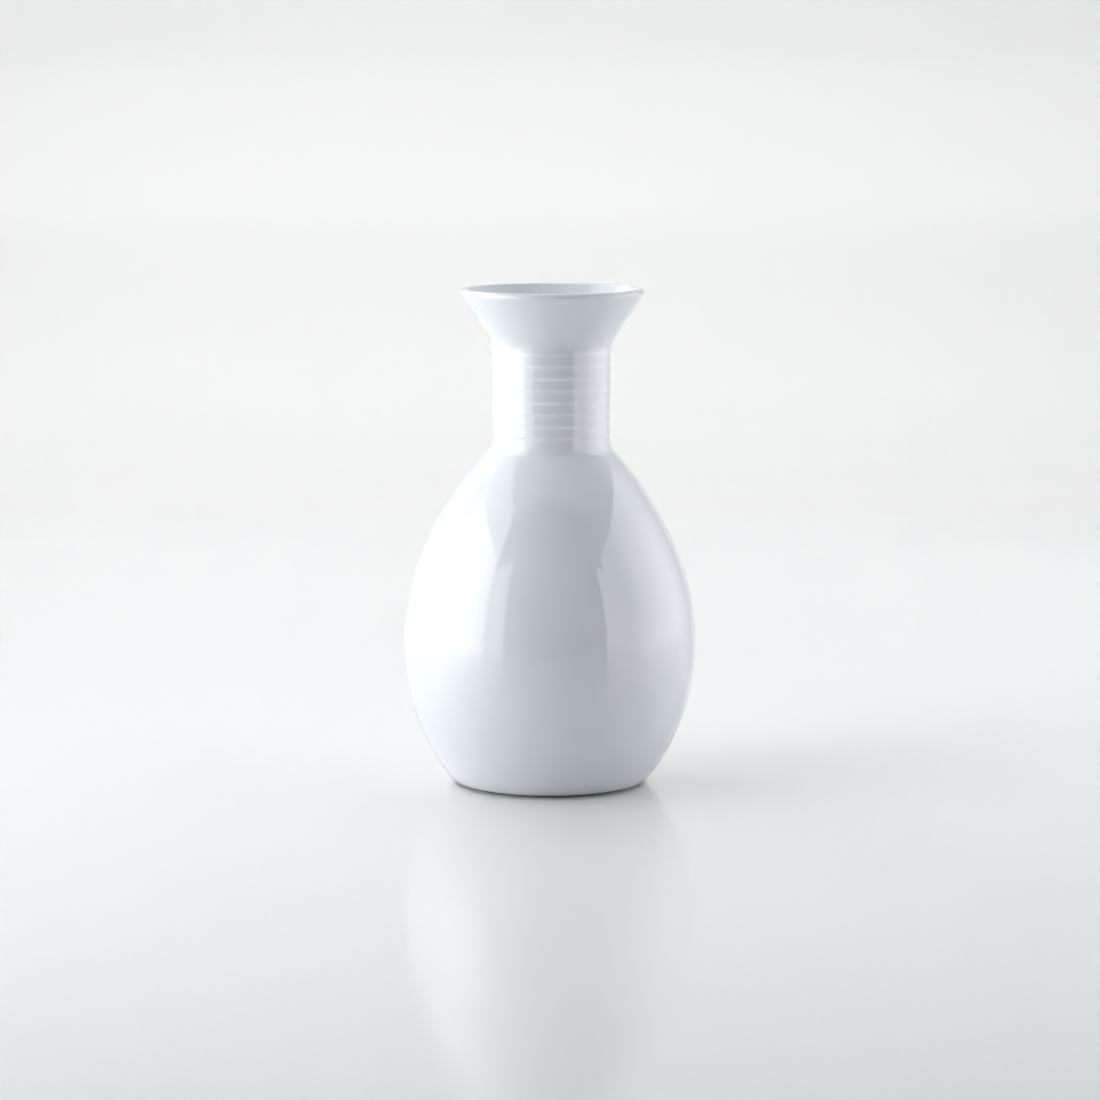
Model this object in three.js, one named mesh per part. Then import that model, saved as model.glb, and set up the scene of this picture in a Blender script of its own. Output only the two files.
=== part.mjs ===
// Flower vase: a slip-cast porcelain bottle with a round belly, a short ringed neck and a flared mouth.
// Millimetres, +Z up. The origin is on the vase's axis, in the plane its foot ring stands on.
//
// Each part of the vase is a solid of revolution about Z:
//   porcelain_body  the fired clay, bare only at the foot ring it stands on
//   outer_glaze     the glaze over the outside and round the lip
//   liner_glaze     the glaze poured into the inside, from the floor up to the lip
//   recess_glaze    the glaze in the shallow recess inside the foot ring
import * as THREE from 'three';

// ---- Heights above the table ----
const HEIGHT = 200;             // crest of the lip
const FLARE_Z = 178.4;          // crease between the neck and the flared mouth
const SHOULDER_Z = 136.9;       // crease between the shoulder and the neck
const BELLY_Z = 57;             // widest place of the belly
const GLAZE_LINE_Z = 0.9;       // lower edge of the outer glaze

// ---- Radii, finished surfaces ----
const LIP_CREST_RADIUS = 35.2;  // ring along the top of the lip
const NECK_TOP_RADIUS = 24;
const NECK_BASE_RADIUS = 23.55;
const BELLY_RADIUS = 59.2;
const GLAZE_LINE_RADIUS = 38.3; // where the outside curve ends above the foot

// ---- Wall and glaze ----
const WALL = 3.4;               // finished wall, both glazes included
const FLOOR = 4.5;              // finished floor over the foot's recess, both glazes included
const GLAZE = 0.3;              // thickness of each coat of glaze

// ---- Outside curves ----
const SHOULDER_SLOPE = 40;      // degrees from vertical where the shoulder meets the neck
const HEEL_SLOPE = 82;          // degrees from vertical where the curve leaves the foot
const LIP_SLOPE = 35.6;         // degrees from vertical where the flare runs into the lip
const SHOULDER_PULL = 4.6;      // handle lengths of the belly's two curves
const UPPER_BELLY_PULL = 42.6;
const LOWER_BELLY_PULL = 31.7;
const HEEL_PULL = 3.6;
const SHOULDER_FILLET_LEG = 3.8; // each leg of the soft corner at the foot of the neck
const FLARE_FILLET_LEG = 2.7;    // each leg of the soft corner under the flare

// ---- Turned rings round the neck ----
const RING_COUNT = 8;
const RING_DEPTH = 0.12;
const RING_MARGIN = 0.4;        // plain neck between a soft corner and the first groove

// ---- Foot ----
const FOOT_STEP = 1.9;          // how far the foot ring is set in from the glaze line
const FOOT_RING_WIDTH = 3;      // bare standing face
const FOOT_BEVEL = 0.3;         // worn edge on both sides of the standing face
const RECESS_DEPTH = 2.6;       // biscuit recess inside the ring
const RECESS_DRAFT = 0.8;       // slope of the recess wall, over its height

// ---- Inside, near the floor ----
const FLOOR_BLEND_Z = 15;       // below this height the inside leaves the outer curve
const FLOOR_FLAT_RADIUS = 18;   // level middle of the inner floor
const FLOOR_PULL = 8;

// ---- Facets ----
const SEGMENTS = 36;
const UPPER_STEPS = 10;
const LOWER_STEPS = 8;
const FILLET_STEPS = 3;
const FLARE_STEPS = 4;
const LIP_STEPS = 6;
const FLOOR_STEPS = 4;

// A profile is a list of points: x is the radius, y is the height.
const at = (radius, height) => new THREE.Vector2(radius, height);

// Unit direction that leans outward from the vertical by an angle in degrees.
function lean(degrees) {
  const a = THREE.MathUtils.degToRad(degrees);
  return at(Math.sin(a), Math.cos(a));
}

// The point a distance along a direction from another point.
const along = (from, direction, distance) => from.clone().addScaledVector(direction, distance);

function curve(start, startHandle, endHandle, end, steps) {
  return new THREE.CubicBezierCurve(start, startHandle, endHandle, end).getPoints(steps);
}

// A soft corner: leaves the line before the corner and joins the line after it.
function softCorner(corner, towardStart, towardEnd, leg, steps) {
  const start = along(corner, towardStart, leg);
  const end = along(corner, towardEnd, leg);
  return new THREE.QuadraticBezierCurve(start, corner, end).getPoints(steps);
}

// Moves a profile sideways to the left of its direction of travel, keeping the distance at each corner.
function offset(profile, distance) {
  return profile.map((point, i) => {
    const before = profile[Math.max(i - 1, 0)];
    const after = profile[Math.min(i + 1, profile.length - 1)];
    const into = i > 0 ? point.clone().sub(before).normalize() : after.clone().sub(point).normalize();
    const out = i < profile.length - 1 ? after.clone().sub(point).normalize() : into;
    const normal = at(-into.y - out.y, into.x + out.x).normalize();
    const stretch = Math.max(normal.x * -into.y + normal.y * into.x, 0.5);
    const moved = along(point, normal, distance / stretch);
    return point.x === 0 ? at(0, moved.y) : moved;
  });
}

// ---- Outside line, from the glaze line up to the lip ----
const lipRadius = WALL / 2;
const lipCentre = at(LIP_CREST_RADIUS, HEIGHT - lipRadius);
const shoulder = at(NECK_BASE_RADIUS, SHOULDER_Z);
const neckTop = at(NECK_TOP_RADIUS, FLARE_Z);
const neckUp = neckTop.clone().sub(shoulder).normalize();
const neckDown = neckUp.clone().negate();
const downShoulder = lean(SHOULDER_SLOPE).multiply(at(1, -1));

// The flare opens a little more towards the lip, and runs straight into the lip's round.
const lipUp = lean(LIP_SLOPE);
const lipOut = at(lipUp.y, -lipUp.x);
const lipStart = along(lipCentre, lipOut, lipRadius);
const flareKnee = along(lipStart, lipUp, -lipStart.distanceTo(neckTop) / 2);
const flareUp = flareKnee.clone().sub(neckTop).normalize();

const belly = at(BELLY_RADIUS, BELLY_Z);
const glazeLine = at(GLAZE_LINE_RADIUS, GLAZE_LINE_Z);
const lowerBelly = curve(
  glazeLine,
  along(glazeLine, lean(HEEL_SLOPE), HEEL_PULL),
  at(BELLY_RADIUS, BELLY_Z - LOWER_BELLY_PULL),
  belly,
  LOWER_STEPS,
);
const shoulderFillet = softCorner(shoulder, downShoulder, neckUp, SHOULDER_FILLET_LEG, FILLET_STEPS);
const upperBelly = curve(
  belly,
  at(BELLY_RADIUS, BELLY_Z + UPPER_BELLY_PULL),
  along(shoulder, downShoulder, SHOULDER_PULL + SHOULDER_FILLET_LEG),
  shoulderFillet[0],
  UPPER_STEPS,
);
const flareFillet = softCorner(neckTop, neckDown, flareUp, FLARE_FILLET_LEG, FILLET_STEPS);
const flareLine = new THREE.QuadraticBezierCurve(flareFillet.at(-1), flareKnee, lipStart)
  .getPoints(FLARE_STEPS)
  .slice(1, -1);
const bellyLine = [...lowerBelly, ...upperBelly.slice(1, -1)];

// ---- Rings: grooves at the low points, crests on the neck's own line ----
function neckRings(bottom, top) {
  const start = along(bottom, neckUp, RING_MARGIN);
  const length = top.distanceTo(bottom) - 2 * RING_MARGIN;
  const inward = at(-neckUp.y, neckUp.x);
  const points = [];
  for (let i = 0; i <= 2 * RING_COUNT; i += 1) {
    const onNeck = along(start, neckUp, (length * i) / (2 * RING_COUNT));
    const isGroove = i % 2 === 0;
    points.push(isGroove ? along(onNeck, inward, RING_DEPTH) : onNeck);
  }
  return points;
}
const rings = neckRings(shoulderFillet.at(-1), flareFillet[0]);

// ---- Lip: a full round between the outer and the inner face of the flare ----
function lipRound() {
  const points = [];
  for (let i = 0; i <= LIP_STEPS; i += 1) {
    const turn = (Math.PI * i) / LIP_STEPS;
    const point = along(lipCentre, lipOut, lipRadius * Math.cos(turn));
    points.push(along(point, lipUp, lipRadius * Math.sin(turn)));
  }
  return points;
}
const lip = lipRound();
const outside = [...bellyLine, ...shoulderFillet, ...rings, ...flareFillet, ...flareLine, ...lip];

// ---- Inside line, from the lip down to the middle of the floor ----
const plainOutside = [...bellyLine, ...shoulderFillet, ...flareFillet, ...flareLine, lip[0]];
const innerWall = offset(plainOutside, WALL).filter((p) => p.y > FLOOR_BLEND_Z).slice(0, -1).reverse();
const wallEnd = innerWall.at(-1);
const wallDown = wallEnd.clone().sub(innerWall.at(-2)).normalize();
const floorZ = RECESS_DEPTH - GLAZE + FLOOR;
const floorEdge = at(FLOOR_FLAT_RADIUS, floorZ);
const floorCurve = curve(
  wallEnd,
  along(wallEnd, wallDown, FLOOR_PULL),
  at(FLOOR_FLAT_RADIUS + FLOOR_PULL, floorZ),
  floorEdge,
  FLOOR_STEPS,
);
const inside = [...innerWall, ...floorCurve.slice(1), at(0, floorZ)];

// ---- The finished skin, and the clay surface one coat of glaze under it ----
const skin = [...outside, ...inside];
const clay = offset(skin, GLAZE);
const join = outside.length - 1;  // the two coats meet at the inner edge of the lip's round

// ---- Foot: a bare ring set in from the glaze line, round a shallow glazed recess ----
const footOuter = GLAZE_LINE_RADIUS - FOOT_STEP;
const footInner = footOuter - FOOT_RING_WIDTH;
const clayEdge = clay[0];
const ringEdge = at(footInner - FOOT_BEVEL, FOOT_BEVEL);
const recessEdge = at(footInner - RECESS_DRAFT, RECESS_DEPTH);
const recessRim = recessEdge.clone().lerp(ringEdge, GLAZE / (recessEdge.y - ringEdge.y));
const foot = [
  recessEdge,
  recessRim,
  ringEdge,
  at(footInner, 0),
  at(footOuter, 0),
  at(footOuter + FOOT_BEVEL, FOOT_BEVEL),
  at(footOuter + FOOT_BEVEL, clayEdge.y),
];

// ---- Meshes ----
// A profile that runs up the outside of a solid gives outward faces. The lathe's own axis is Y, so it is
// turned to stand along Z.
function lathe(name, profile, material) {
  const geometry = new THREE.LatheGeometry(profile, SEGMENTS);
  geometry.rotateX(Math.PI / 2);
  const mesh = new THREE.Mesh(geometry, material);
  mesh.name = name;
  return mesh;
}

const clayMaterial = new THREE.MeshStandardMaterial({ color: '#e9e6df', roughness: 0.75, metalness: 0 });
const outerMaterial = new THREE.MeshStandardMaterial({ color: '#e8eaeb', roughness: 0.08, metalness: 0 });
const linerMaterial = new THREE.MeshStandardMaterial({ color: '#e6e8e9', roughness: 0.1, metalness: 0 });
const recessMaterial = new THREE.MeshStandardMaterial({ color: '#e3e6e7', roughness: 0.12, metalness: 0 });

const bodyProfile = [at(0, RECESS_DEPTH), ...foot, ...clay];
const outerSkin = skin.slice(0, join + 1);
const outerClay = clay.slice(0, join + 1).reverse();
const outerProfile = [...outerSkin, ...outerClay, outerSkin[0]];
const linerSkin = skin.slice(join);
const linerClay = clay.slice(join).reverse();
const linerProfile = [...linerClay, ...linerSkin];
const recessProfile = [at(0, recessRim.y), recessRim, recessEdge, at(0, RECESS_DEPTH)];

const vase = new THREE.Group();
vase.name = 'flower_vase';
vase.add(lathe('porcelain_body', bodyProfile, clayMaterial));
vase.add(lathe('outer_glaze', outerProfile, outerMaterial));
vase.add(lathe('liner_glaze', linerProfile, linerMaterial));
vase.add(lathe('recess_glaze', recessProfile, recessMaterial));

export default vase;
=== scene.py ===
# A glazed porcelain bottle vase, slip-cast, turned and fired, standing in a white light tent.
import math

import bpy
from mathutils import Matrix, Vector


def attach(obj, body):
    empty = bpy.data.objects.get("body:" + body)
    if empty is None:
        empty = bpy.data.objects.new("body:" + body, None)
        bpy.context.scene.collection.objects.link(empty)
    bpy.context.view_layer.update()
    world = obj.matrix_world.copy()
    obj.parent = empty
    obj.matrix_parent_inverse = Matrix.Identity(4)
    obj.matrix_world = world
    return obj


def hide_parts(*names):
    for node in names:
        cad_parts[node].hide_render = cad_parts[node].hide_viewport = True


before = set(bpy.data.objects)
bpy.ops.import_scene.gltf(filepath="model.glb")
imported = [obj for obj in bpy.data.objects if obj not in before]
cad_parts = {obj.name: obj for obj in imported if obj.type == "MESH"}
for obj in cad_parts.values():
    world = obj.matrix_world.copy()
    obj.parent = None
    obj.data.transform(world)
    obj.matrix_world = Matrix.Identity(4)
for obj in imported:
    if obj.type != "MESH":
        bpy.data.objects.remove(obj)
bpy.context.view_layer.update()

MM = 0.001

# ---- Vase sizes, mm. Radii and heights are those of the finished, glazed surface ----
HEIGHT = 200.0
FLARE_Z = 178.4
SHOULDER_Z = 136.9
BELLY_Z = 57.0
GLAZE_LINE_Z = 0.9
LIP_CREST_RADIUS = 35.2
NECK_TOP_RADIUS = 24.0
NECK_BASE_RADIUS = 23.55
BELLY_RADIUS = 59.2
GLAZE_LINE_RADIUS = 38.3
WALL = 3.4
FLOOR = 4.5
GLAZE = 0.3

SHOULDER_SLOPE = 40.0
HEEL_SLOPE = 82.0
LIP_SLOPE = 35.6
LIP_OUTER_ROUND = 1.6
LIP_INNER_ROUND = 0.6
SHOULDER_PULL = 4.6
UPPER_BELLY_PULL = 42.6
LOWER_BELLY_PULL = 31.7
HEEL_PULL = 3.6
SHOULDER_FILLET_LEG = 3.8
FLARE_FILLET_LEG = 2.7

RING_COUNT = 8
RING_DEPTH = 0.12
RING_LOW_Z = SHOULDER_Z + 0.6
RING_HIGH_Z = FLARE_Z - FLARE_FILLET_LEG
RING_STEP_SHARE = 0.3      # the part of each ring where the neck steps back out
RING_EDGE_SHARE = 0.6      # the part of each ring that the painted highlight line covers, over that step
RING_FADE_SHARE = 1 / 14   # the part of the ringed height over which the rings fade in, at each end
RING_UNEVENNESS = 0.1      # the share by which the lathe tool's cut varies from ring to ring
RING_STEPS = 20

FOOT_STEP = 1.9
FOOT_RING_WIDTH = 3.0
FOOT_ROUND = 0.45
RECESS_DEPTH = 2.6
RECESS_DRAFT = 0.8
RECESS_AIM = 0.6           # how far along the ring's rounded edge the recess wall aims
FLOOR_BLEND_Z = 15.0
FLOOR_FLAT_RADIUS = 18.0
FLOOR_PULL = 8.0

# The neck settled a little to one side in the kiln, and the lip a little more.
NECK_LEAN = 0.75
NECK_LEAN_START_Z = 100.0
NECK_LEAN_END_Z = SHOULDER_Z + 6
LIP_LEAN = 1.1
LIP_LEAN_START_Z = FLARE_Z - 8
LIP_LEAN_RISE = 24.0

SEGMENTS = 192
HIDDEN_LINE_KEEP = 3       # one point in this many is kept where two solids meet


# ---- Lines and curves in the (radius, height) plane, mm ----
def lean(degrees):
    """A step of length 1 that leans outward from straight up."""
    a = math.radians(degrees)
    return Vector((math.sin(a), math.cos(a)))


def curve(a, b, c, d, steps):
    """A cubic curve from a to d, pulled towards b and c."""
    points = []
    for i in range(steps + 1):
        t = i / steps
        u = 1 - t
        points.append(a * u**3 + b * 3 * u * u * t + c * 3 * u * t * t + d * t**3)
    return points


def soft_corner(start, corner, end, steps):
    return curve(start, start.lerp(corner, 2 / 3), end.lerp(corner, 2 / 3), end, steps)


def arc(centre, x_axis, y_axis, from_deg, to_deg, steps):
    points = []
    for i in range(steps + 1):
        a = math.radians(from_deg + (to_deg - from_deg) * i / steps)
        points.append(centre + x_axis * math.cos(a) + y_axis * math.sin(a))
    return points


def offset(profile, distance):
    """The profile moved to the left of its direction of travel."""
    moved = []
    last = len(profile) - 1
    for i, p in enumerate(profile):
        into = (p - profile[i - 1]).normalized() if i else (profile[1] - p).normalized()
        out = (profile[i + 1] - p).normalized() if i < last else into
        normal = Vector((-into.y - out.y, into.x + out.x)).normalized()
        stretch = max(normal.dot(Vector((-into.y, into.x))), 0.5)
        q = p + normal * (distance / stretch)
        moved.append(Vector((0, q.y)) if p.x == 0 else q)
    return moved


# ---- The outside, from the glaze line up to the lip ----
def smooth(t):
    t = min(max(t, 0.0), 1.0)
    return t * t * (3 - 2 * t)


def ring_cut(share):
    """How deep the turned rings cut at a share of their height: each narrows slowly, then steps back out."""
    turn = min(max(share, 0.0), 1.0) * RING_COUNT
    ring, phase = int(turn), turn % 1
    uneven = 1 - RING_UNEVENNESS + RING_UNEVENNESS * math.sin(2.4 * ring + 0.7)
    narrowing = 1 - RING_STEP_SHARE
    wave = smooth(phase / narrowing) if phase <= narrowing else smooth((1 - phase) / RING_STEP_SHARE)
    fade = smooth(share / RING_FADE_SHARE) * smooth((1 - share) / RING_FADE_SHARE)
    return RING_DEPTH * uneven * wave * fade


def lip_line(lip_centre, lip_start, lip_up):
    """The lip: rounded over on the outside, then a narrow level land wiped flat, then a small inner round."""
    level, up = Vector((1, 0)), Vector((0, 1))
    across = math.cos(math.radians(LIP_SLOPE))
    outward = lip_up.x / lip_up.y
    inner_wall = lip_centre * 2 - lip_start
    outer_z = HEIGHT - LIP_OUTER_ROUND
    inner_z = HEIGHT - LIP_INNER_ROUND
    outer_x = lip_start.x + (outer_z - lip_start.y) * outward - LIP_OUTER_ROUND / across
    inner_x = inner_wall.x + (inner_z - inner_wall.y) * outward + LIP_INNER_ROUND / across
    outer = arc(Vector((outer_x, outer_z)), level * LIP_OUTER_ROUND, up * LIP_OUTER_ROUND,
                -LIP_SLOPE, 90, steps=14)
    inner = arc(Vector((inner_x, inner_z)), level * LIP_INNER_ROUND, up * LIP_INNER_ROUND,
                90, 180 - LIP_SLOPE, steps=6)
    return outer + inner


def outside_line():
    shoulder = Vector((NECK_BASE_RADIUS, SHOULDER_Z))
    neck_top = Vector((NECK_TOP_RADIUS, FLARE_Z))
    neck_up = (neck_top - shoulder).normalized()
    inward = Vector((-neck_up.y, neck_up.x))
    up_shoulder = lean(SHOULDER_SLOPE)
    down_shoulder = Vector((up_shoulder.x, -up_shoulder.y))
    lip_up = lean(LIP_SLOPE)
    lip_out = Vector((lip_up.y, -lip_up.x))
    lip_centre = Vector((LIP_CREST_RADIUS, HEIGHT - WALL / 2))
    lip_start = lip_centre + lip_out * (WALL / 2)
    knee = lip_start - lip_up * ((lip_start - neck_top).length / 2)
    flare_up = (knee - neck_top).normalized()
    glaze_line = Vector((GLAZE_LINE_RADIUS, GLAZE_LINE_Z))
    belly = Vector((BELLY_RADIUS, BELLY_Z))
    fillet_start = shoulder + down_shoulder * SHOULDER_FILLET_LEG
    fillet_end = shoulder + neck_up * SHOULDER_FILLET_LEG
    flare_start = neck_top - neck_up * FLARE_FILLET_LEG
    flare_end = neck_top + flare_up * FLARE_FILLET_LEG

    lower = curve(glaze_line, glaze_line + lean(HEEL_SLOPE) * HEEL_PULL,
                  Vector((BELLY_RADIUS, BELLY_Z - LOWER_BELLY_PULL)), belly, steps=40)
    upper = curve(belly, Vector((BELLY_RADIUS, BELLY_Z + UPPER_BELLY_PULL)),
                  shoulder + down_shoulder * (SHOULDER_PULL + SHOULDER_FILLET_LEG), fillet_start, steps=48)
    shoulder_corner = soft_corner(fillet_start, shoulder, fillet_end, steps=30)
    neck_steps = RING_COUNT * RING_STEPS
    neck = [fillet_end.lerp(flare_start, i / neck_steps) for i in range(1, neck_steps)]
    ringed_height = RING_HIGH_Z - RING_LOW_Z
    turned_neck = [p + inward * ring_cut((p.y - RING_LOW_Z) / ringed_height) for p in shoulder_corner + neck]
    flare_corner = soft_corner(flare_start, neck_top, flare_end, steps=8)
    flare = curve(flare_end, flare_end.lerp(knee, 2 / 3), lip_start.lerp(knee, 2 / 3), lip_start,
                  steps=12)
    lip = lip_line(lip_centre, lip_start, lip_up)
    plain = lower[:-1] + upper[:-1] + shoulder_corner + flare_corner[:-1] + flare
    ringed = lower[:-1] + upper[:-1] + turned_neck + flare_corner[:-1] + flare[:-1] + lip
    return plain, ringed


def inside_line(plain):
    """The inside, from the lip down to the middle of the floor."""
    wall = [p for p in offset(plain, WALL) if p.y > FLOOR_BLEND_Z][:-1]
    wall.reverse()
    down = (wall[-1] - wall[-2]).normalized()
    floor_z = RECESS_DEPTH - GLAZE + FLOOR
    floor = curve(wall[-1], wall[-1] + down * FLOOR_PULL, Vector((FLOOR_FLAT_RADIUS + FLOOR_PULL, floor_z)),
                  Vector((FLOOR_FLAT_RADIUS, floor_z)), steps=12)
    return wall + floor[1:] + [Vector((0, floor_z))]


def foot_line(clay_edge):
    """The bare foot, from the recess out to the glaze line, with its standing face rubbed round."""
    outer = GLAZE_LINE_RADIUS - FOOT_STEP
    inner = outer - FOOT_RING_WIDTH
    across, up = Vector((FOOT_ROUND, 0)), Vector((0, FOOT_ROUND))
    recess_edge = Vector((inner - RECESS_DRAFT, RECESS_DEPTH))
    ring_edge = Vector((inner - FOOT_ROUND * RECESS_AIM, FOOT_ROUND))
    recess_rim = recess_edge.lerp(ring_edge, GLAZE / (recess_edge.y - ring_edge.y))
    inner_round = arc(Vector((inner, 0)) + up, across, up, 180, 270, steps=5)
    outer_round = arc(Vector((outer, 0)) + up, across, up, 270, 360, steps=5)
    flat = [inner_round[-1].lerp(outer_round[0], i / 4) for i in range(1, 4)]
    step = arc(Vector((outer + 2 * FOOT_ROUND, clay_edge.y - FOOT_ROUND)), across, up, 180, 90, steps=5)
    return [recess_edge, recess_rim] + inner_round + flat + outer_round + step[1:], recess_rim, recess_edge


# ---- Turning a line into a solid ----
def kiln_lean(height):
    """How far the piece leans at a height, mm: nothing at the belly, a little at the neck and lip."""
    to_neck = smooth((height - NECK_LEAN_START_Z) / (NECK_LEAN_END_Z - NECK_LEAN_START_Z))
    to_lip = smooth((height - LIP_LEAN_START_Z) / LIP_LEAN_RISE)
    return NECK_LEAN * to_neck + (LIP_LEAN - NECK_LEAN) * to_lip


def turned(name, profile, material, node):
    """A closed solid of revolution. A profile that doesn't touch the axis closes on itself."""
    vertices, faces, rows = [], [], []
    for p in profile:
        if p.x == 0:
            rows.append([len(vertices)] * SEGMENTS)
            vertices.append((0.0, 0.0, p.y * MM))
            continue
        rows.append(list(range(len(vertices), len(vertices) + SEGMENTS)))
        for k in range(SEGMENTS):
            a = 2 * math.pi * k / SEGMENTS
            x = p.x * math.cos(a) + kiln_lean(p.y)
            vertices.append((x * MM, p.x * math.sin(a) * MM, p.y * MM))
    pairs = list(zip(rows, rows[1:]))
    if profile[0].x > 0:
        pairs.append((rows[-1], rows[0]))
    for low, high in pairs:
        for k in range(SEGMENTS):
            n = (k + 1) % SEGMENTS
            ring = [low[k], low[n], high[n], high[k]]
            faces.append(tuple(dict.fromkeys(ring)))
    mesh = bpy.data.meshes.new(name)
    mesh.from_pydata(vertices, [], faces)
    mesh.validate()
    mesh.update()
    mesh.shade_smooth()
    mesh.set_sharp_from_angle(angle=math.radians(40))
    piece = bpy.data.objects.new(name, mesh)
    bpy.context.scene.collection.objects.link(piece)
    mesh.materials.append(material)
    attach(piece, "root")
    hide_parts(node)


# ---- Materials. Pattern widths and depths in mm ----
WAVE_WIDTH, WAVE_DEPTH = 16, 0.025           # slow waves where the glaze ran
PEEL_WIDTH, PEEL_DEPTH = 1.6, 0.0015         # orange peel
PINHOLE_SPACING, PINHOLE_DEPTH = 11, 0.02
GRAIN_WIDTH, GRAIN_DEPTH = 0.35, 0.02        # grain of the bare clay
PAINTED_HIGHLIGHT_PATCH_WIDTH = 7                      # stretches where the painted highlight on a ring's edge is stronger or weaker
SCUFF_WIDTH = 2.5
WEAR_HEIGHT = 0.25                           # how far up the standing face is greyed
# heights of the band in the foot's step that is painted near-black as painted shadow
SHADOW_LINE_LOW_Z, SHADOW_LINE_HIGH_Z = 0.05, 0.3
SHEET_SCATTER = 12                           # how far light travels sideways inside the sweep


def linear(hex_colour):
    """sRGB hex to the linear colour the shaders take."""
    parts = [int(hex_colour[i:i + 2], 16) / 255 for i in (1, 3, 5)]
    return [c / 12.92 if c <= 0.04045 else ((c + 0.055) / 1.055) ** 2.4 for c in parts] + [1.0]


def per_mm(size_mm):
    """The texture scale that makes a pattern's grain this many millimetres across."""
    return 1 / (size_mm * MM)


def add(tree, kind, settings=None, inputs=None):
    """One node, with its settings and its inputs: an input is a value, or another node's output to link."""
    node = tree.nodes.new(kind)
    for key, value in (settings or {}).items():
        setattr(node, key, value)
    for key, value in (inputs or {}).items():
        if isinstance(value, bpy.types.NodeSocket):
            tree.links.new(value, node.inputs[key])
        else:
            node.inputs[key].default_value = value
    return node


def bumped(tree, height, depth_mm, under=None):
    """The surface normal with a pattern of this depth laid over it, or over another bump."""
    inputs = {"Height": height, "Distance": depth_mm * MM, "Strength": 1.0}
    if under:
        inputs["Normal"] = under
    return add(tree, "ShaderNodeBump", None, inputs).outputs["Normal"]


def new_material(name):
    material = bpy.data.materials.new(name)
    material.use_nodes = True
    tree = material.node_tree
    tree.nodes.clear()
    return material, tree


def glazed_porcelain(name, thin, thick, flow_mm, coat_roughness, edge=None):
    """Clear feldspathic glaze, fired glossy over white cast porcelain.

    To the eye: a hard, wet shine with slow waves where the glaze ran, a faintly uneven white that is a
    little cooler where the coat lies thick, a very fine orange peel, and a few pinholes. On the neck a whiter
    line is painted over the step of each turned ring, as a painted highlight where those steps catch light.
    """
    material, tree = new_material(name)
    place = add(tree, "ShaderNodeTexCoord").outputs["Object"]
    run = add(tree, "ShaderNodeTexNoise", None, {"Vector": place, "Scale": per_mm(flow_mm), "Detail": 2.0})
    coat = add(tree, "ShaderNodeMapRange", None, {
        "Value": run.outputs["Fac"], "From Min": 0.35, "From Max": 0.75})
    colour = add(tree, "ShaderNodeMix", {"data_type": "RGBA"},
                 {0: coat.outputs["Result"], 6: linear(thin), 7: linear(thick)})
    if edge:
        # Painted highlight: a whiter line, set by height, over the step of each ring, weaker in noise
        # patches.
        height = add(tree, "ShaderNodeSeparateXYZ", None, {"Vector": place}).outputs["Z"]
        turn = add(tree, "ShaderNodeMapRange", None, {
            "Value": height, "From Min": RING_LOW_Z * MM, "From Max": RING_HIGH_Z * MM,
            "To Max": float(RING_COUNT)})
        phase = add(tree, "ShaderNodeMath", {"operation": "FRACT"}, {0: turn.outputs["Result"]})
        from_edge = add(tree, "ShaderNodeMath", {"operation": "SUBTRACT"},
                        {0: phase.outputs["Value"], 1: 1 - RING_STEP_SHARE / 2})
        away = add(tree, "ShaderNodeMath", {"operation": "ABSOLUTE"}, {0: from_edge.outputs["Value"]})
        line = add(tree, "ShaderNodeMapRange", {"interpolation_type": "SMOOTHSTEP"}, {
            "Value": away.outputs["Value"], "From Min": RING_EDGE_SHARE / 2, "From Max": 0.0})
        patchy = add(tree, "ShaderNodeTexNoise", None, {
            "Vector": place, "Scale": per_mm(PAINTED_HIGHLIGHT_PATCH_WIDTH), "Detail": 1.0})
        broken = add(tree, "ShaderNodeMapRange", None, {
            "Value": patchy.outputs["Fac"], "From Min": 0.35, "From Max": 0.6, "To Min": 0.45, "To Max": 1.0})
        painted_ring_highlight = add(tree, "ShaderNodeMath", {"operation": "MULTIPLY"},
                           {0: line.outputs["Result"], 1: broken.outputs["Result"]})
        colour = add(tree, "ShaderNodeMix", {"data_type": "RGBA"},
                     {0: painted_ring_highlight.outputs["Value"], 6: colour.outputs[2], 7: linear(edge)})
    waves = add(tree, "ShaderNodeTexNoise", None, {
        "Vector": place, "Scale": per_mm(WAVE_WIDTH), "Detail": 1.0})
    peel = add(tree, "ShaderNodeTexNoise", None, {
        "Vector": place, "Scale": per_mm(PEEL_WIDTH), "Detail": 2.0})
    pinholes = add(tree, "ShaderNodeTexVoronoi", None, {
        "Vector": place, "Scale": per_mm(PINHOLE_SPACING)})
    hole = add(tree, "ShaderNodeMapRange", {"interpolation_type": "SMOOTHSTEP"},
               {"Value": pinholes.outputs["Distance"], "From Min": 0.012, "From Max": 0.03})
    slow = bumped(tree, waves.outputs["Fac"], WAVE_DEPTH)
    fine = bumped(tree, peel.outputs["Fac"], PEEL_DEPTH, slow)
    pits = bumped(tree, hole.outputs["Result"], PINHOLE_DEPTH, fine)
    shader = add(tree, "ShaderNodeBsdfPrincipled", None, {
        "Base Color": colour.outputs[2],
        "Roughness": 0.45,
        "IOR": 1.5,
        "Specular IOR Level": 0.0,
        "Coat Weight": 1.0,
        "Coat Roughness": coat_roughness,
        "Coat IOR": 1.62,
        "Normal": slow,
        "Coat Normal": pits,
    })
    output = add(tree, "ShaderNodeOutputMaterial")
    tree.links.new(shader.outputs["BSDF"], output.inputs["Surface"])
    return material


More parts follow.
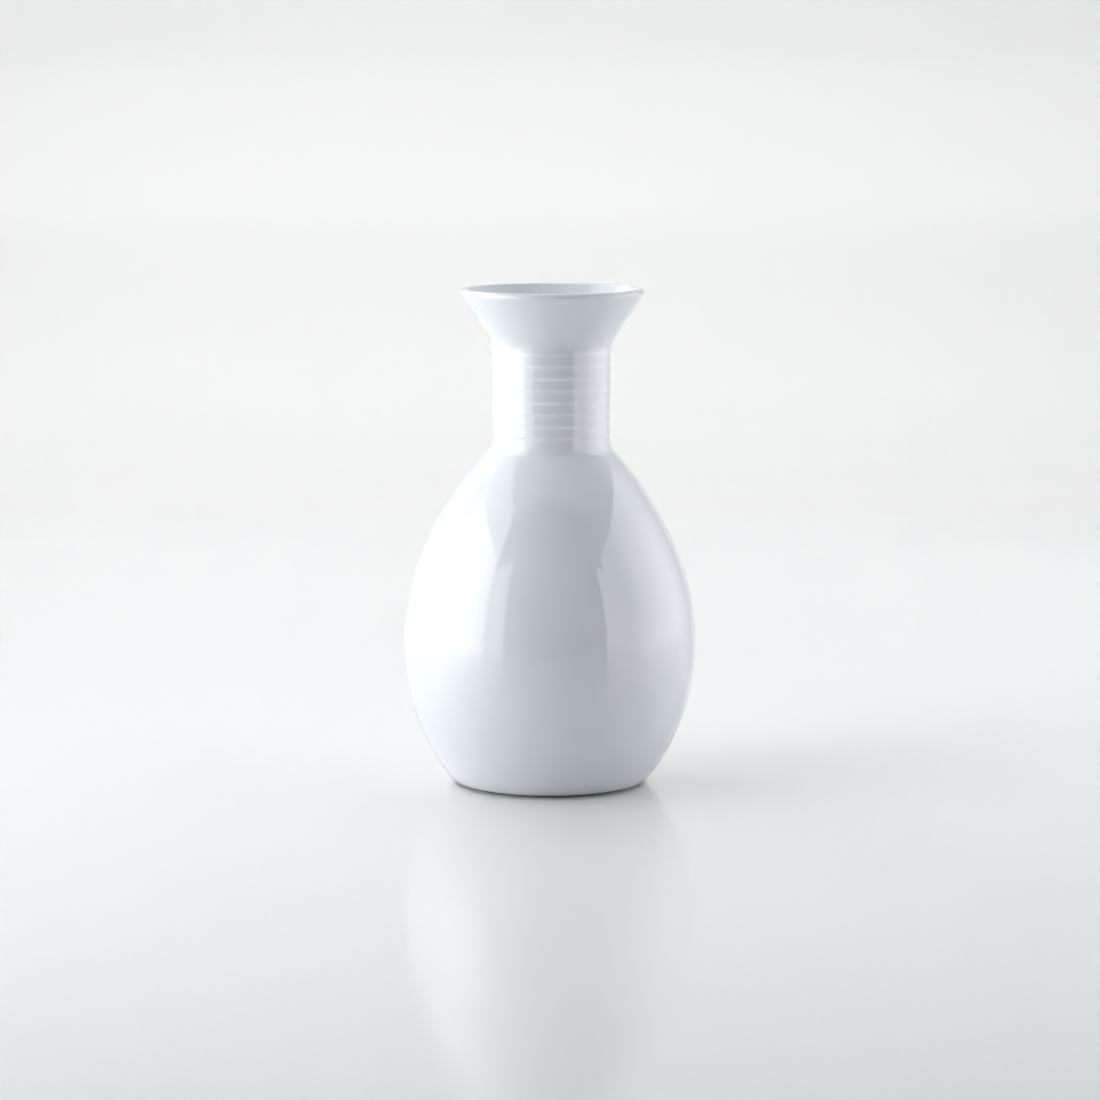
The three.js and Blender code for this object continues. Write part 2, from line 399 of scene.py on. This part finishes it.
def bare_porcelain():
    """Unglazed fired porcelain, turned, sponged, and rubbed smooth at the foot after firing.

    To the eye: chalk-white and matt with a fine grain, a little table grey on the face it stands on, and
    a thin near-black line painted all round in the step under the glaze, as painted shadow of the gap above
    the table.
    """
    material, tree = new_material("biscuit_porcelain_rubbed_foot")
    place = add(tree, "ShaderNodeTexCoord").outputs["Object"]
    height = add(tree, "ShaderNodeSeparateXYZ", None, {"Vector": place}).outputs["Z"]
    worn = add(tree, "ShaderNodeMapRange", None, {
        "Value": height, "From Min": WEAR_HEIGHT * MM, "From Max": 0.0})
    scuffs = add(tree, "ShaderNodeTexNoise", None, {
        "Vector": place, "Scale": per_mm(SCUFF_WIDTH), "Detail": 5.0})
    grey = add(tree, "ShaderNodeMath", {"operation": "MULTIPLY"},
               {0: worn.outputs["Result"], 1: scuffs.outputs["Fac"]})
    raised = add(tree, "ShaderNodeMapRange", None, {
        "Value": height, "From Min": SHADOW_LINE_LOW_Z * MM, "From Max": SHADOW_LINE_HIGH_Z * MM})
    reach = add(tree, "ShaderNodeVectorMath", {"operation": "LENGTH"},
                {0: add(tree, "ShaderNodeVectorMath", {"operation": "MULTIPLY"},
                        {0: place, 1: (1.0, 1.0, 0.0)}).outputs["Vector"]}).outputs["Value"]
    outside = add(tree, "ShaderNodeMath", {"operation": "GREATER_THAN"},
                  {0: reach, 1: (GLAZE_LINE_RADIUS - FOOT_STEP - 1) * MM}).outputs["Value"]
    step = add(tree, "ShaderNodeMath", {"operation": "MULTIPLY"}, {0: raised.outputs["Result"], 1: outside})
    # Painted shadow: the step under the glaze line is coloured near-black for the shade of the narrow gap
    # above the table.
    clay_with_painted_shadow = add(tree, "ShaderNodeMix", {"data_type": "RGBA"},
                {0: step.outputs["Value"], 6: linear("#DEDDDA"), 7: linear("#2B2B2E")})
    colour = add(tree, "ShaderNodeMix", {"data_type": "RGBA"},
                 {0: grey.outputs["Value"], 6: clay_with_painted_shadow.outputs[2], 7: linear("#A9A69F")})
    grain = add(tree, "ShaderNodeTexNoise", None, {
        "Vector": place, "Scale": per_mm(GRAIN_WIDTH), "Detail": 3.0})
    shader = add(tree, "ShaderNodeBsdfPrincipled", None, {
        "Base Color": colour.outputs[2],
        "Roughness": 0.7,
        "IOR": 1.5,
        "Normal": bumped(tree, grain.outputs["Fac"], GRAIN_DEPTH),
    })
    output = add(tree, "ShaderNodeOutputMaterial")
    tree.links.new(shader.outputs["BSDF"], output.inputs["Surface"])
    return material


# ---- The vase ----
plain, outside = outside_line()
inside = inside_line(plain)
skin = outside + inside
clay = offset(skin, GLAZE)
join = len(outside) - 1
foot, recess_rim, recess_edge = foot_line(clay[0])


def thinned(points):
    """Every few points of a hidden line, and its last one."""
    return points[:-1:HIDDEN_LINE_KEEP] + [points[-1]]


biscuit = bare_porcelain()
# the last colour is the painted highlight line along the neck's rings
outer_coat = glazed_porcelain("clear_glaze_dipped", "#D7DBDF", "#D1D6DB", 34, 0.015, "#E1E6EA")
liner_coat = glazed_porcelain("clear_glaze_poured", "#E0E3E5", "#DADEE1", 22, 0.12)
recess_coat = glazed_porcelain("clear_glaze_brushed", "#D5DADE", "#CCD3D8", 8, 0.05)

body_profile = [Vector((0, RECESS_DEPTH))] + foot + thinned(clay)
turned("porcelain_vase_body", body_profile, biscuit, "porcelain_body")
outer_profile = outside + list(reversed(thinned(clay[:join + 1])))
turned("dipped_outer_glaze", outer_profile, outer_coat, "outer_glaze")
liner_profile = list(reversed(thinned(clay[join:]))) + skin[join:]
turned("poured_liner_glaze", liner_profile, liner_coat, "liner_glaze")
recess_profile = [Vector((0, recess_rim.y)), recess_rim, recess_edge, Vector((0, RECESS_DEPTH))]
turned("brushed_recess_glaze", recess_profile, recess_coat, "recess_glaze")


# ---- Studio, in metres: a white sweep inside a light tent. None of it belongs to the vase ----
SWEEP_HALF_WIDTH = 2.4
SWEEP_FRONT = -1.2
SWEEP_BEND = 0.75
SWEEP_BEND_LENGTH = 1.5
SWEEP_TOP = 2.4
SWEEP_CLEARANCE = 0.02 * MM


def staged(name, vertices, faces, material, smooth_faces=False):
    mesh = bpy.data.meshes.new(name)
    mesh.from_pydata(vertices, [], faces)
    mesh.materials.append(material)
    if smooth_faces:
        mesh.shade_smooth()
    item = bpy.data.objects.new(name, mesh)
    bpy.context.scene.collection.objects.link(item)
    return item


def sweep_material():
    """Opal white acrylic sheet, cast and polished.

    To the eye: a bright, even white with a softened reflection, and contact shadows that melt away because
    light travels sideways inside the sheet.
    """
    material, tree = new_material("opal_white_acrylic_sheet")
    shader = add(tree, "ShaderNodeBsdfPrincipled", {"subsurface_method": "BURLEY"}, {
        "Base Color": linear("#E6E6E6"),
        "Roughness": 0.11,
        "IOR": 1.62,
        "Subsurface Weight": 0.85,
        "Subsurface Radius": (1.0, 1.0, 1.0),
        "Subsurface Scale": SHEET_SCATTER * MM,
    })
    output = add(tree, "ShaderNodeOutputMaterial")
    tree.links.new(shader.outputs["BSDF"], output.inputs["Surface"])
    return material


def white_sweep():
    line = [(SWEEP_FRONT, -SWEEP_CLEARANCE), (SWEEP_BEND, -SWEEP_CLEARANCE)]
    steps = 48
    for i in range(steps):
        slope = math.radians(90 * smooth((i + 0.5) / steps))
        y, z = line[-1]
        step = SWEEP_BEND_LENGTH / steps
        line.append((y + step * math.cos(slope), z + step * math.sin(slope)))
    line.append((line[-1][0], SWEEP_TOP))
    vertices = [(side * SWEEP_HALF_WIDTH, y, z) for y, z in line for side in (-1, 1)]
    faces = [(2 * i, 2 * i + 1, 2 * i + 3, 2 * i + 2) for i in range(len(line) - 1)]
    staged("white_sweep", vertices, faces, sweep_material(), True)


def glow(name, axis, low, high, stops, tint):
    """A lit cloth: its brightness runs along one axis between its stops, each (share, strength)."""
    material, tree = new_material(name)
    shader = add(tree, "ShaderNodeEmission", None, {"Color": linear(tint), "Strength": stops[0][1]})
    output = add(tree, "ShaderNodeOutputMaterial")
    tree.links.new(shader.outputs["Emission"], output.inputs["Surface"])
    if len(stops) == 1:
        return material
    place = add(tree, "ShaderNodeTexCoord").outputs["Object"]
    along = add(tree, "ShaderNodeSeparateXYZ", None, {"Vector": place}).outputs[axis]
    share = add(tree, "ShaderNodeMapRange", None, {"Value": along, "From Min": low, "From Max": high})
    ramp = add(tree, "ShaderNodeFloatCurve", None, {"Value": share.outputs["Result"]})
    points = ramp.mapping.curves[0].points
    most = max(strength for _, strength in stops)
    while len(points) < len(stops):
        points.new(0.5, 0.5)
    for point, (where, strength) in zip(points, stops):
        point.location = (where, strength / most)
        point.handle_type = "VECTOR"
    ramp.mapping.update()
    power = add(tree, "ShaderNodeMath", {"operation": "MULTIPLY"}, {0: ramp.outputs["Value"], 1: most})
    tree.links.new(power.outputs["Value"], shader.inputs["Strength"])
    return material


def panel(name, corner, across, up, axis, stops, tint="#FFFFFF"):
    """A flat lit cloth from one corner, seen by the vase and the sweep and not by the camera."""
    corner, across, up = Vector(corner), Vector(across), Vector(up)
    corners = [corner, corner + across, corner + across + up, corner + up]
    index = "XYZ".index(axis)
    values = [c[index] for c in corners]
    item = staged(name, [tuple(c) for c in corners], [(0, 1, 2, 3)],
                  glow(name + "_glow", axis, min(values), max(values), stops, tint))
    item.visible_camera = False


TENT_SIDE = 0.75
TENT_FRONT = -0.60
TENT_BACK = 1.2
TENT_TOP = 1.25
SIDE_TOP = 0.74
FRONT_TOP = 0.62
OPENING_LEFT = -0.42
OPENING_RIGHT = 0.58
OPENING_TOP = 0.51
TABLE = -0.001            # the cloths reach just below the top of the sweep
TOP_SEAM = 0.3
COOL_ROOM = "#D0E4F8"     # the front of the top cloth is lit a little cooler than the rest
ROOM_STRENGTH = 0.75
LAMP_HALF_WIDTH = 1.4
LAMP_FRONT = 1.0
LAMP_DEPTH = 0.8
LAMP_HEIGHT = 1.8
DEPTH = TENT_BACK - TENT_FRONT
WIDTH = 2 * TENT_SIDE

white_sweep()
# Each side cloth, from front to back: its lamp stands beside the vase, the left one much the stronger.
panel("left_cloth", (-TENT_SIDE, TENT_FRONT, TABLE), (0, DEPTH, 0), (0, 0, SIDE_TOP), "Y",
      [(0.0, 3.6), (0.19, 4.8), (0.33, 4.0), (0.45, 2.0), (0.56, 1.2), (0.7, 1.3), (1.0, 1.0)])
panel("right_cloth", (TENT_SIDE, TENT_FRONT, TABLE), (0, DEPTH, 0), (0, 0, SIDE_TOP), "Y",
      [(0.0, 1.7), (0.15, 1.5), (0.3, 2.4), (0.46, 2.4), (0.58, 2.0), (0.7, 1.2), (1.0, 0.4)])
panel("left_upper_cloth", (-TENT_SIDE, TENT_FRONT, SIDE_TOP), (0, DEPTH, 0), (0, 0, TENT_TOP - SIDE_TOP), "Y",
      [(0.0, 2.3), (0.5, 1.6), (0.64, 1.8), (0.7, 4.6), (1.0, 4.6)])
panel("right_upper_cloth", (TENT_SIDE, TENT_FRONT, SIDE_TOP), (0, DEPTH, 0), (0, 0, TENT_TOP - SIDE_TOP), "Y",
      [(0.0, 0.4), (0.4, 0.5), (0.55, 0.9), (1.0, 1.0)])
panel("top_front_cloth", (-TENT_SIDE, TENT_FRONT, TENT_TOP), (WIDTH, 0, 0), (0, TOP_SEAM - TENT_FRONT, 0),
      "Y", [(0.0, 0.9), (0.5, 0.6), (1.0, 0.2)], COOL_ROOM)
panel("top_rear_cloth", (-TENT_SIDE, TOP_SEAM, TENT_TOP), (WIDTH, 0, 0), (0, TENT_BACK - TOP_SEAM, 0), "Y",
      [(0.0, 0.2), (0.24, 0.3), (0.44, 1.9), (1.0, 1.9)])
panel("back_cloth", (-TENT_SIDE, TENT_BACK, SIDE_TOP), (WIDTH, 0, 0), (0, 0, TENT_TOP - SIDE_TOP), "Z",
      [(0.0, 1.0)])
panel("backdrop_lamp", (-LAMP_HALF_WIDTH, LAMP_FRONT, LAMP_HEIGHT), (2 * LAMP_HALF_WIDTH, 0, 0),
      (0, LAMP_DEPTH, 0), "Y", [(0.0, 1.6)])
panel("front_left_cloth", (-TENT_SIDE, TENT_FRONT, TABLE), (OPENING_LEFT + TENT_SIDE, 0, 0),
      (0, 0, FRONT_TOP), "X", [(0.0, 2.1), (0.6, 2.2), (1.0, 1.6)])
panel("front_right_cloth", (OPENING_RIGHT, TENT_FRONT, TABLE), (TENT_SIDE - OPENING_RIGHT, 0, 0),
      (0, 0, FRONT_TOP), "X", [(0.0, 1.7)])
# The front is open for the camera: a dark room, a little lighter to the left, under a dark header.
panel("opening", (OPENING_LEFT, TENT_FRONT, TABLE), (OPENING_RIGHT - OPENING_LEFT, 0, 0), (0, 0, OPENING_TOP),
      "X", [(0.0, 0.05), (0.55, 0.03), (0.62, 0.0), (1.0, 0.0)])
panel("header", (OPENING_LEFT, TENT_FRONT, OPENING_TOP), (OPENING_RIGHT - OPENING_LEFT, 0, 0),
      (0, 0, SIDE_TOP - OPENING_TOP), "X", [(0.0, 0.04), (1.0, 0.02)])
panel("header_left", (-TENT_SIDE, TENT_FRONT, FRONT_TOP), (OPENING_LEFT + TENT_SIDE, 0, 0),
      (0, 0, SIDE_TOP - FRONT_TOP), "X", [(0.0, 0.5), (1.0, 0.1)])
panel("header_right", (OPENING_RIGHT, TENT_FRONT, FRONT_TOP), (TENT_SIDE - OPENING_RIGHT, 0, 0),
      (0, 0, SIDE_TOP - FRONT_TOP), "X", [(0.0, 0.02)])
panel("front_upper_cloth", (-TENT_SIDE, TENT_FRONT, SIDE_TOP), (WIDTH, 0, 0), (0, 0, TENT_TOP - SIDE_TOP),
      "X", [(0.0, 0.03), (1.0, 0.0)])

world = bpy.data.worlds.new("pale_room")
world.use_nodes = True
world.node_tree.nodes["Background"].inputs["Color"].default_value = linear("#F4F4F4")
world.node_tree.nodes["Background"].inputs["Strength"].default_value = ROOM_STRENGTH
bpy.context.scene.world = world
bpy.context.scene.view_settings.view_transform = "Standard"

# ---- Camera: a long lens a little above the lip, tilted down at the belly ----
CAMERA_LENS = 121.0
CAMERA_TILT = 7.59
CAMERA_PLACE = (0.16 * MM, -1.481, 0.2917)

camera_data = bpy.data.cameras.new("camera")
camera_data.sensor_width = 36.0
camera_data.lens = CAMERA_LENS
camera_data.clip_start = 0.1
camera_data.clip_end = 20.0
camera = bpy.data.objects.new("camera", camera_data)
camera.location = CAMERA_PLACE
camera.rotation_euler = (math.radians(90 - CAMERA_TILT), 0.0, 0.0)
bpy.context.scene.collection.objects.link(camera)
bpy.context.scene.camera = camera
